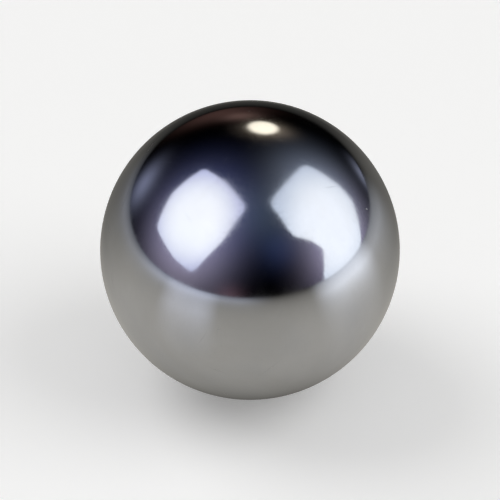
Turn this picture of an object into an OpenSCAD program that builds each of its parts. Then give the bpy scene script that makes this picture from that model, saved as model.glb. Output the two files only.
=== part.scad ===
// Polished steel ball: one solid sphere, centred on the origin, +Z up.

/* [Ball] */
// Diameter over the finished surface, in mm (3/8 in by default)
ball_d = 9.525; // [1:0.001:60]

/* [Mesh] */
// Facets round the ball's equator when it is drawn as a mesh
ball_facets = 180; // [64:4:360]

/* [Hidden] */
// Hardened chrome steel, lapped to a mirror
steel_colour = [0.56, 0.58, 0.62];

// The ball is solid, with no core, seam, flat or hole. Its lowest point,
// where it touches whatever carries it, is at [0, 0, -ball_d / 2].
module ball() {
    color(steel_colour)
        sphere(d = ball_d, $fn = ball_facets);
}

ball();
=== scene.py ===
import math
import random

import bpy
import numpy as np
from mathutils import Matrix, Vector


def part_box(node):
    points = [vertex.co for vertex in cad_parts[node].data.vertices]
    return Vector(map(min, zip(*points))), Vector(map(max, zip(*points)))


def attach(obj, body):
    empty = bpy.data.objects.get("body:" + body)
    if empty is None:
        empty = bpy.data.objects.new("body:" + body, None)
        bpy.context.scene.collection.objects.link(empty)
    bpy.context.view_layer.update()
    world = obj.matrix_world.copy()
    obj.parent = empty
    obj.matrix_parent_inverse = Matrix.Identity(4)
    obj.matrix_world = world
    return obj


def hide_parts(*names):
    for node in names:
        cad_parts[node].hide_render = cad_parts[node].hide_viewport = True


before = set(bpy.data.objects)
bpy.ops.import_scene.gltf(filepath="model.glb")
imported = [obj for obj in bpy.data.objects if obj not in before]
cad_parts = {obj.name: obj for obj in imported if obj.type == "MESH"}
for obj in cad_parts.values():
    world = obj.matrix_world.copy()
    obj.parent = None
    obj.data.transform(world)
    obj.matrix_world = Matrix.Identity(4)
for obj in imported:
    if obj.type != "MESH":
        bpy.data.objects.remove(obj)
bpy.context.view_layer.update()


LO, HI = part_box("ball")
CENTRE = (LO + HI) / 2
R = (HI.z - LO.z) / 2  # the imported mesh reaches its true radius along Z
TABLE_Z = LO.z
ELEVATION = 36.5  # degrees above the horizon, the photograph's viewing angle

scene = bpy.context.scene
scene.view_settings.view_transform = "Standard"


# ---------------------------------------------------------------- node helpers


class Tree:
    """A few short calls that keep a node graph readable."""

    def __init__(self, nodes_owner):
        nodes_owner.use_nodes = True
        self.tree = nodes_owner.node_tree
        self.tree.nodes.clear()

    def node(self, kind, **props):
        n = self.tree.nodes.new(kind)
        for name, value in props.items():
            setattr(n, name, value)
        return n

    def link(self, out, into):
        self.tree.links.new(out, into)

    def put(self, socket, value):
        if isinstance(value, bpy.types.NodeSocket):
            self.link(value, socket)
        else:
            socket.default_value = value

    def math(self, op, a, b=0.0, c=0.0, clamp=False):
        n = self.node("ShaderNodeMath", operation=op, use_clamp=clamp)
        for socket, value in zip(n.inputs, (a, b, c)):
            self.put(socket, value)
        return n.outputs[0]

    def vec(self, op, a, b=(0.0, 0.0, 0.0)):
        n = self.node("ShaderNodeVectorMath", operation=op)
        self.put(n.inputs[0], a)
        if op == "SCALE":
            self.put(n.inputs["Scale"], b)
        else:
            self.put(n.inputs[1], b)
        return n.outputs["Value" if op in ("DOT_PRODUCT", "LENGTH", "DISTANCE") else "Vector"]

    def ramp(self, value, low, high, to_low=0.0, to_high=1.0, kind="SMOOTHSTEP"):
        n = self.node("ShaderNodeMapRange", interpolation_type=kind, clamp=True)
        for socket, v in zip(n.inputs, (value, low, high, to_low, to_high)):
            self.put(socket, v)
        return n.outputs[0]

    def mix(self, factor, a, b, kind="MIX"):
        n = self.node("ShaderNodeMix", data_type="RGBA", blend_type=kind, clamp_factor=True)
        self.put(n.inputs[0], factor)
        for socket, v in ((n.inputs[6], a), (n.inputs[7], b)):
            self.put(socket, (*v, 1.0) if isinstance(v, tuple) and len(v) == 3 else v)
        return n.outputs[2]

    def noise(self, vector, scale, detail=2.0, roughness=0.5, distortion=0.0):
        n = self.node("ShaderNodeTexNoise", noise_dimensions="3D", normalize=True)
        self.put(n.inputs["Vector"], vector)
        for name, v in (("Scale", scale), ("Detail", detail), ("Roughness", roughness), ("Distortion", distortion)):
            n.inputs[name].default_value = v
        return n.outputs["Fac"]

    def turned(self, vector, rotation, scale=(1.0, 1.0, 1.0), location=(0.0, 0.0, 0.0)):
        n = self.node("ShaderNodeMapping", vector_type="POINT")
        self.put(n.inputs["Vector"], vector)
        n.inputs["Location"].default_value = location
        n.inputs["Rotation"].default_value = rotation
        n.inputs["Scale"].default_value = scale
        return n.outputs[0]


# ---------------------------------------------------------------- the ball


def quad_sphere(name, centre, radius, per_face):
    """A sphere of six square grids with equal angles between their lines, so its faces are nearly equal and it has no poles."""
    steps = np.arange(per_face + 1)
    i, j = np.meshgrid(steps, steps, indexing="ij")
    low, high = np.zeros_like(i), np.full_like(i, per_face)
    sides = [  # integer places on the cube, each side's grid turned so that its faces look outward
        (high, i, j),
        (low, j, i),
        (j, high, i),
        (i, low, j),
        (i, j, high),
        (j, i, low),
    ]
    grid = np.stack([np.stack(s, -1).reshape(-1, 3) for s in sides])
    cube, index = np.unique(grid.reshape(-1, 3), axis=0, return_inverse=True)
    index = index.reshape(6, per_face + 1, per_face + 1)
    tangent = np.tan((cube / per_face * 2 - 1) * math.pi / 4)
    points = tangent / np.linalg.norm(tangent, axis=1, keepdims=True)

    a, b = index[:, :-1, :-1], index[:, 1:, :-1]
    c, d = index[:, 1:, 1:], index[:, :-1, 1:]
    quads = np.stack([a, b, c, d], -1).reshape(-1, 4)

    mesh = bpy.data.meshes.new(name)
    mesh.from_pydata((points * radius + np.array(centre)).tolist(), [], quads.tolist())
    mesh.polygons.foreach_set("use_smooth", np.ones(len(quads), bool))

    u, v = np.meshgrid(steps / per_face, steps / per_face, indexing="ij")
    gap = 0.006
    uv = []
    for side in range(6):
        left, bottom = (side % 3) / 3, (side // 3) / 2
        su = left + gap + u * (1 / 3 - 2 * gap)
        sv = bottom + gap + v * (1 / 2 - 2 * gap)
        su = np.stack([su, sv], -1)
        uv.append(np.stack([su[:-1, :-1], su[1:, :-1], su[1:, 1:], su[:-1, 1:]], 2).reshape(-1, 2))
    layer = mesh.uv_layers.new(name="OFBake")
    layer.data.foreach_set("uv", np.concatenate(uv).astype(np.float32).ravel())
    mesh.validate()
    mesh.update()
    piece = bpy.data.objects.new(name, mesh)
    scene.collection.objects.link(piece)
    return piece


def steel():
    """Hardened, lapped and polished chrome steel."""
    mat = bpy.data.materials.new("polished_steel")
    t = Tree(mat)
    place = t.node("ShaderNodeTexCoord").outputs["Object"]
    p = t.vec("SCALE", t.vec("SUBTRACT", place, tuple(CENTRE)), 1 / R)  # the ball as a unit sphere

    # lapping: very fine lines that run every way, each set seen only in its own patches
    lines = None
    for k, (turn, stretch, share) in enumerate(
        (
            ((0.3, 0.9, 0.2), (75, 75, 2.5), 0.50),
            ((1.3, 0.2, 1.1), (90, 90, 3.0), 0.52),
            ((2.2, 1.4, 0.5), (65, 65, 3.0), 0.50),
            ((0.8, 2.3, 2.0), (100, 100, 4.0), 0.54),
        )
    ):
        along = t.noise(t.turned(p, turn, stretch, (3.1 * k, 1.7, 0.4 * k)), 1.0, 2.0, 0.5)
        where = t.ramp(t.noise(t.turned(p, (0, 0, 0), (1, 1, 1), (5.3 * k, 2.2 * k, 9.1)), 2.2, 2.0), share - 0.08, share + 0.1)
        part = t.math("MULTIPLY", t.math("SUBTRACT", along, 0.5), where)
        lines = part if lines is None else t.math("ADD", lines, part)

    # single hairlines, as a ball picks up from the others in its box: short arcs, each tapering to its ends
    rng = random.Random(3)
    hairs = None
    for k in range(50):
        at = Vector([rng.gauss(0, 1) for _ in range(3)]).normalized()
        along = at.cross(Vector([rng.gauss(0, 1) for _ in range(3)])).normalized()
        bend = rng.uniform(-0.8, 0.8)  # 0 follows a great circle
        axis = at.cross(along) * math.cos(bend) + at * math.sin(bend)
        width = rng.uniform(0.007, 0.012)
        length = rng.choice((0.05, 0.08, 0.12, 0.17, 0.26)) * rng.uniform(0.8, 1.3)
        depth = rng.uniform(0.4, 1.0)
        off = t.math("MULTIPLY_ADD", t.vec("DOT_PRODUCT", p, tuple(axis)), 1 / width, -math.sin(bend) / width)
        ends = t.math("MULTIPLY_ADD", t.vec("DISTANCE", p, tuple(at)), -depth / length, depth)
        one = t.math("SUBTRACT", ends, t.math("ABSOLUTE", off), clamp=True)
        hairs = one if hairs is None else t.math("MAXIMUM", hairs, one)

    # pin-point pits
    cells = t.node("ShaderNodeTexVoronoi", voronoi_dimensions="3D", feature="F1")
    t.put(cells.inputs["Vector"], p)
    cells.inputs["Scale"].default_value = 6.5
    chosen = t.math("GREATER_THAN", t.vec("DOT_PRODUCT", cells.outputs["Color"], (1.0, 0.0, 0.0)), 0.72)
    size = t.math("MULTIPLY_ADD", t.vec("DOT_PRODUCT", cells.outputs["Color"], (0.0, 1.0, 0.0)), 0.03, 0.022)
    pits = t.math("MULTIPLY", t.ramp(t.math("DIVIDE", cells.outputs["Distance"], size), 1.0, 0.45), chosen)

    # handling: a thin film of oil, wiped unevenly
    film = t.ramp(t.noise(t.turned(p, (0.4, 0.2, 0.9), (1.0, 1.6, 0.8)), 1.7, 5.0, 0.55, 0.6), 0.42, 0.68)
    grain = t.noise(p, 46.0, 3.0, 0.6)

    tone = t.noise(t.turned(p, (0.0, 0.0, 0.0), (1, 1, 1), (11.0, 4.0, 2.0)), 2.1, 4.0, 0.5)
    colour = t.mix(t.ramp(tone, 0.3, 0.7), (0.525, 0.536, 0.560), (0.572, 0.580, 0.599))
    colour = t.mix(t.math("MULTIPLY", film, 0.35), colour, (0.505, 0.502, 0.496))
    colour = t.mix(t.math("MULTIPLY", t.math("ABSOLUTE", lines), 0.35), colour, (0.47, 0.475, 0.49))
    colour = t.mix(t.math("MULTIPLY", hairs, 0.45), colour, (0.42, 0.425, 0.44))
    colour = t.mix(pits, colour, (0.17, 0.165, 0.17))

    rough = t.math("MULTIPLY_ADD", film, 0.050, 0.086)
    rough = t.math("MULTIPLY_ADD", t.math("SUBTRACT", grain, 0.5), 0.025, rough)
    rough = t.math("MULTIPLY_ADD", lines, 0.10, rough)
    rough = t.math("MULTIPLY_ADD", hairs, 0.26, rough)
    rough = t.math("MULTIPLY_ADD", pits, 0.3, rough, clamp=True)

    height = t.math("MULTIPLY", hairs, -0.08)
    height = t.math("MULTIPLY_ADD", pits, -1.0, height)
    bump = t.node("ShaderNodeBump")
    bump.inputs["Strength"].default_value = 0.6
    bump.inputs["Distance"].default_value = R * 0.004
    t.put(bump.inputs["Height"], height)

    shader = t.node("ShaderNodeBsdfPrincipled")
    shader.inputs["Metallic"].default_value = 1.0
    t.put(shader.inputs["Base Color"], colour)
    t.put(shader.inputs["Roughness"], rough)
    t.put(shader.inputs["Normal"], bump.outputs[0])
    t.link(shader.outputs[0], t.node("ShaderNodeOutputMaterial").inputs[0])
    return mat


ball = quad_sphere("steel_ball", CENTRE, R, 96)
ball.data.materials.append(steel())
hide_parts("ball")
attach(ball, "root")


# ---------------------------------------------------------------- the stage


def only(obj, **seen):
    """Sets which rays see obj."""
    for kind in ("camera", "diffuse", "glossy", "transmission", "volume_scatter", "shadow"):
        setattr(obj, "visible_" + kind, seen.get(kind, False))


def disc(name, radius, z, rings=48, around=96):
    """A flat disc with finer rings near its middle."""
    verts, faces = [(0.0, 0.0, z)], []
    for k in range(1, rings + 1):
        r = radius * (k / rings) ** 2.5
        verts += [
            (r * math.cos(2 * math.pi * s / around), r * math.sin(2 * math.pi * s / around), z) for s in range(around)
        ]
    for s in range(around):
        n = (s + 1) % around
        faces.append((0, 1 + s, 1 + n))
        for k in range(rings - 1):
            a, b = 1 + k * around, 1 + (k + 1) * around
            faces.append((a + s, b + s, b + n, a + n))
    mesh = bpy.data.meshes.new(name)
    mesh.from_pydata(verts, [], faces)
    obj = bpy.data.objects.new(name, mesh)
    scene.collection.objects.link(obj)
    return obj


def dome(name, radius, z):
    """The inside of a sphere above z, which closes the view behind the table."""
    rings, around = 24, 96
    verts, faces = [], []
    for k in range(rings + 1):
        a = math.pi / 2 * k / rings
        verts += [
            (
                radius * math.cos(a) * math.cos(2 * math.pi * s / around),
                radius * math.cos(a) * math.sin(2 * math.pi * s / around),
                z + radius * math.sin(a),
            )
            for s in range(around)
        ]
    for k in range(rings):
        for s in range(around):
            n = (s + 1) % around
            faces.append((k * around + s, (k + 1) * around + s, (k + 1) * around + n, k * around + n))
    mesh = bpy.data.meshes.new(name)
    mesh.from_pydata(verts, [], faces)
    obj = bpy.data.objects.new(name, mesh)
    scene.collection.objects.link(obj)
    return obj


def emitter(name, colour, strength=1.0):
    mat = bpy.data.materials.new(name)
    t = Tree(mat)
    shader = t.node("ShaderNodeEmission")
    t.put(shader.inputs["Color"], (*colour, 1.0))
    shader.inputs["Strength"].default_value = strength
    t.link(shader.outputs[0], t.node("ShaderNodeOutputMaterial").inputs[0])
    return mat


def mirrored_by(x, y):
    """The direction that the ball mirrors to the camera at (x, y) of its disc: x to the right, y up, 1 at the outline."""
    e, z = math.radians(ELEVATION), math.sqrt(1 - x * x - y * y)
    right, up, back = 2 * z * x, 2 * z * y, 2 * z * z - 1
    return Vector((right, up * math.sin(e) - back * math.cos(e), up * math.cos(e) + back * math.sin(e)))


def cosine(degrees):
    return math.cos(math.radians(degrees))


FLOOR_LIGHT = 0.90  # radiance of the open floor as the camera sees it
FLOOR_OWN = 0.30  # what part of it comes through the table from below, which keeps the shadow pale
FLOOR_TINT = (1.0, 0.997, 0.99)

floor = disc("floor", 0.60, TABLE_Z)
mat = bpy.data.materials.new("floor")
t = Tree(mat)
lit = t.node("ShaderNodeBsdfDiffuse")
lit.inputs["Color"].default_value = (*(0.88 * c for c in FLOOR_TINT), 1.0)
own = t.node("ShaderNodeEmission")
own.inputs["Color"].default_value = (*FLOOR_TINT, 1.0)
own.inputs["Strength"].default_value = FLOOR_LIGHT * FLOOR_OWN
both = t.node("ShaderNodeAddShader")
t.link(lit.outputs[0], both.inputs[0])
t.link(own.outputs[0], both.inputs[1])
t.link(both.outputs[0], t.node("ShaderNodeOutputMaterial").inputs[0])
floor.data.materials.append(mat)
only(floor, camera=True, diffuse=True)

backdrop = dome("backdrop", 0.60, TABLE_Z)
backdrop.data.materials.append(emitter("backdrop", tuple(FLOOR_LIGHT * c for c in FLOOR_TINT)))
only(backdrop, camera=True)

# the same table as the steel mirrors it, a glowing disc seen only in reflections whose colour is painted light:
# brighter beside the softboxes, painted shadow under the ball, fading into the dark room
mirrored = disc("painted_light_floor_mirrored", 3.0, TABLE_Z)
mat = bpy.data.materials.new("painted_light_floor_mirrored")
t = Tree(mat)
place = t.node("ShaderNodeTexCoord").outputs["Object"]
flat = t.vec("SCALE", t.vec("MULTIPLY", place, (1.0, 1.0, 0.0)), 1 / R)
away = t.vec("LENGTH", flat)
heading = t.vec("NORMALIZE", flat)


def fading(distance, power):
    return t.math("DIVIDE", 1.0, t.math("ADD", 1.0, t.math("POWER", t.math("DIVIDE", away, distance), power)))


def towards(azimuth, half, core):
    """1 within core degrees of azimuth (0 is to the front, 90 to the right), 0 beyond half degrees of it."""
    a = math.radians(azimuth)
    return t.ramp(t.vec("DOT_PRODUCT", heading, (math.sin(a), -math.cos(a), 0.0)), cosine(half), cosine(core))


# painted shadow of the ball on the table, darkest next to the contact
painted_ball_shadow = t.math("MULTIPLY_ADD", fading(0.72, 3.3), -0.93, 1.0)  # the ball's own shadow on the table
# painted shade on the table behind the ball, deeper again far behind it
behind = t.math("MULTIPLY_ADD", t.math("MULTIPLY", towards(180, 97, 10), t.ramp(away, 0.0, 3.0)), -0.71, 1.0)
painted_shade_far_behind = t.math("MULTIPLY_ADD", t.math("MULTIPLY", towards(180, 34, 3), t.ramp(away, 3.0, 8.0)), -0.6, 1.0)
# painted pool of light: the table dims with distance from the ball, times the painted shadow and shade above
table = t.math("MULTIPLY", t.math("MULTIPLY", fading(13.0, 1.15), painted_ball_shadow), t.math("MULTIPLY", behind, painted_shade_far_behind))
table = t.math("MULTIPLY", table, 0.585)
# painted sheen of the softboxes on the table, to the right and to the left of the ball
painted_sheen_right = t.math("MULTIPLY", t.math("MULTIPLY", towards(72, 30, 2), t.ramp(away, 0.2, 9.0)), 0.72)
painted_sheen_right = t.math("MULTIPLY_ADD", t.math("MULTIPLY", towards(97, 45, 10), t.ramp(away, 1.5, 10.0)), 0.30, painted_sheen_right)
painted_sheen_left = t.math("MULTIPLY", t.math("MULTIPLY", towards(-42, 22.5, 2), t.ramp(away, 0.9, 5.0)), 0.32)
painted_sheen_left = t.math("MULTIPLY_ADD", t.math("MULTIPLY", towards(-38, 58, 10), t.ramp(away, 5.0, 22.0)), 0.28, painted_sheen_left)
painted_sheen_left = t.math("MULTIPLY_ADD", t.math("MULTIPLY", towards(-95, 60, 20), t.ramp(away, 3.0, 16.0)), 0.16, painted_sheen_left)
shader = t.node("ShaderNodeEmission")
warm_painted_table_light = t.vec("SCALE", (1.02, 0.985, 0.905), table)
cool_painted_sheen = t.vec("ADD", t.vec("SCALE", (0.94, 0.99, 1.10), painted_sheen_right), t.vec("SCALE", (0.92, 0.99, 1.22), painted_sheen_left))
cool_painted_sheen = t.vec("SCALE", cool_painted_sheen, fading(500.0, 2.0))
t.link(t.vec("ADD", warm_painted_table_light, cool_painted_sheen), shader.inputs["Color"])
t.link(shader.outputs[0], t.node("ShaderNodeOutputMaterial").inputs[0])
mirrored.data.materials.append(mat)
only(mirrored, glossy=True)


def rounded(outline, share=0.18, steps=5):
    """The outline with a small curve in place of each corner."""
    points = [Vector(p) for p in outline]
    curve = []
    for k, corner in enumerate(points):
        before, after = corner.lerp(points[k - 1], share), corner.lerp(points[(k + 1) % len(points)], share)
        for s in range(steps + 1):
            u = s / steps
            curve.append(before * (1 - u) ** 2 + corner * 2 * u * (1 - u) + after * u**2)
    return curve


def panel(name, outline, hot, dim, bright, reach):
    """A flat luminous sheet a metre away. outline and hot are places on the ball's disc where the camera sees its corners
    and its brightest spot; its light falls from bright to dim over reach degrees."""
    ways = [mirrored_by(*place) for place in rounded(outline)]
    axis = sum(ways, Vector()).normalized()
    mesh = bpy.data.meshes.new(name)
    mesh.from_pydata([tuple(w / w.dot(axis)) for w in ways], [], [tuple(range(len(ways)))])
    obj = bpy.data.objects.new(name, mesh)
    scene.collection.objects.link(obj)

    mat = bpy.data.materials.new(name)
    t = Tree(mat)
    way = t.vec("NORMALIZE", t.node("ShaderNodeTexCoord").outputs["Object"])
    near = t.vec("DOT_PRODUCT", way, tuple(mirrored_by(*hot)))
    shader = t.node("ShaderNodeEmission")
    t.link(t.mix(t.ramp(near, cosine(reach), 1.0), dim, bright), shader.inputs["Color"])
    t.link(shader.outputs[0], t.node("ShaderNodeOutputMaterial").inputs[0])
    mesh.materials.append(mat)
    only(obj, glossy=True)
    return obj


panel(
    "softbox_left",
    [(-0.305, 0.54), (-0.15, 0.442), (-0.02, 0.282), (-0.174, 0.062), (-0.38, -0.152), (-0.505, -0.05), (-0.618, 0.15), (-0.515, 0.376)],
    (-0.36, 0.20), (0.90, 0.95, 1.35), (1.76, 1.80, 1.87), 38.5,
)
panel(
    "softbox_right",
    [(0.122, 0.315), (0.357, 0.572), (0.583, 0.432), (0.684, 0.31), (0.738, 0.054), (0.622, -0.20), (0.484, -0.20), (0.483, 0.005), (0.403, 0.06), (0.28, 0.092)],
    (0.52, 0.16), (0.96, 1.08, 1.30), (1.64, 1.70, 1.80), 43.5,
)


# ---------------------------------------------------------------- the room

world = bpy.data.worlds.new("room")
scene.world = world
t = Tree(world)
d = t.vec("NORMALIZE", t.node("ShaderNodeTexCoord").outputs["Generated"])
room = (0.0, 0.0, 0.0)


def glow(room, place, half, colour):
    """Adds a soft glow where the camera sees place on the ball; at half degrees from its middle it is half as bright."""
    near = t.math("MAXIMUM", t.vec("DOT_PRODUCT", d, tuple(mirrored_by(*place))), 0.0)
    return t.mix(t.math("POWER", near, math.log(0.5) / math.log(cosine(half))), room, colour, "ADD")


# the wall and the haze lit by each softbox
room = glow(room, (-0.43, 0.03), 25, (0.46, 0.40, 0.50))
room = glow(room, (-0.33, 0.215), 29.5, (0.115, 0.140, 0.350))
room = glow(room, (0.60, 0.05), 22.5, (0.63, 0.56, 0.81))
room = glow(room, (0.455, 0.365), 23, (0.31, 0.36, 0.48))
room = glow(room, (0.20, 0.015), 12, (0.018, 0.029, 0.085))
room = glow(room, (0.07, 0.235), 18, (0.036, 0.053, 0.074))
room = glow(room, (-0.14, -0.32), 8, (0.105, 0.052, 0.064))
# a brown wall low behind, the lamp's halo, and two far windows beside it
room = glow(room, (-0.20, 0.905), 9, (0.085, 0.045, 0.038))
room = glow(room, (-0.06, 0.885), 5, (0.150, 0.090, 0.075))
room = glow(room, (0.119, 0.798), 7.2, (0.330, 0.265, 0.197))
room = glow(room, (-0.70, 0.435), 8.5, (0.25, 0.27, 0.40))
room = glow(room, (0.755, 0.48), 5, (0.27, 0.29, 0.39))

# the lamp itself
axis = mirrored_by(0.086, 0.809)
wide = Vector((1, 0, 0)) - axis * axis.x
wide.normalize()
tall = wide.cross(axis).normalized()
a = t.math("DIVIDE", t.vec("DOT_PRODUCT", d, tuple(wide)), math.sin(math.radians(7.0)))
b = t.math("DIVIDE", t.vec("DOT_PRODUCT", d, tuple(tall)), math.sin(math.radians(8.8)))
off = t.math("SQRT", t.math("ADD", t.math("MULTIPLY", a, a), t.math("MULTIPLY", b, b)))
ahead = t.math("GREATER_THAN", t.vec("DOT_PRODUCT", d, tuple(axis)), 0.0)
lamp = t.math("MULTIPLY", t.ramp(off, 1.15, 0.72), ahead)
room = t.mix(lamp, room, (1.75, 1.62, 1.32), "ADD")

back = t.node("ShaderNodeBackground")
t.link(room, back.inputs["Color"])
t.link(back.outputs[0], t.node("ShaderNodeOutputWorld").inputs[0])
for kind in ("camera", "diffuse", "transmission", "scatter"):
    setattr(world.cycles_visibility, kind, False)
world.cycles_visibility.glossy = True


# ---------------------------------------------------------------- light on the floor


def sun(name, azimuth, elevation, angle, share):
    """Distant soft light on the floor alone; share is its part of the floor's light from above."""
    data = bpy.data.lights.new(name, "SUN")
    e, a = math.radians(elevation), math.radians(azimuth)
    way = Vector((math.sin(a) * math.cos(e), -math.cos(a) * math.cos(e), math.sin(e)))
    data.energy = share * FLOOR_LIGHT * (1 - FLOOR_OWN) * math.pi / 0.88 / math.sin(e)
    data.angle = math.radians(angle)
    obj = bpy.data.objects.new(name, data)
    obj.rotation_mode = "QUATERNION"
    obj.rotation_quaternion = way.to_track_quat("Z", "Y")
    scene.collection.objects.link(obj)
    only(obj, diffuse=True, shadow=True)
    return obj


sun("overhead", 0, 90, 100, 0.40)
sun("from_left", -115, 48, 45, 0.32)
sun("from_right", 80, 42, 50, 0.28)


# ---------------------------------------------------------------- camera

cam = bpy.data.cameras.new("camera")
cam.sensor_width = 36.0
cam.lens = 302.0
camera = bpy.data.objects.new("camera", cam)
scene.collection.objects.link(camera)
e = math.radians(ELEVATION)
away = Vector((0.0, -math.cos(e), math.sin(e)))
camera.location = CENTRE + away * (28 * R)
camera.rotation_mode = "QUATERNION"
camera.rotation_quaternion = away.to_track_quat("Z", "Y")
cam.clip_start, cam.clip_end = R * 0.1, 2.0
scene.camera = camera
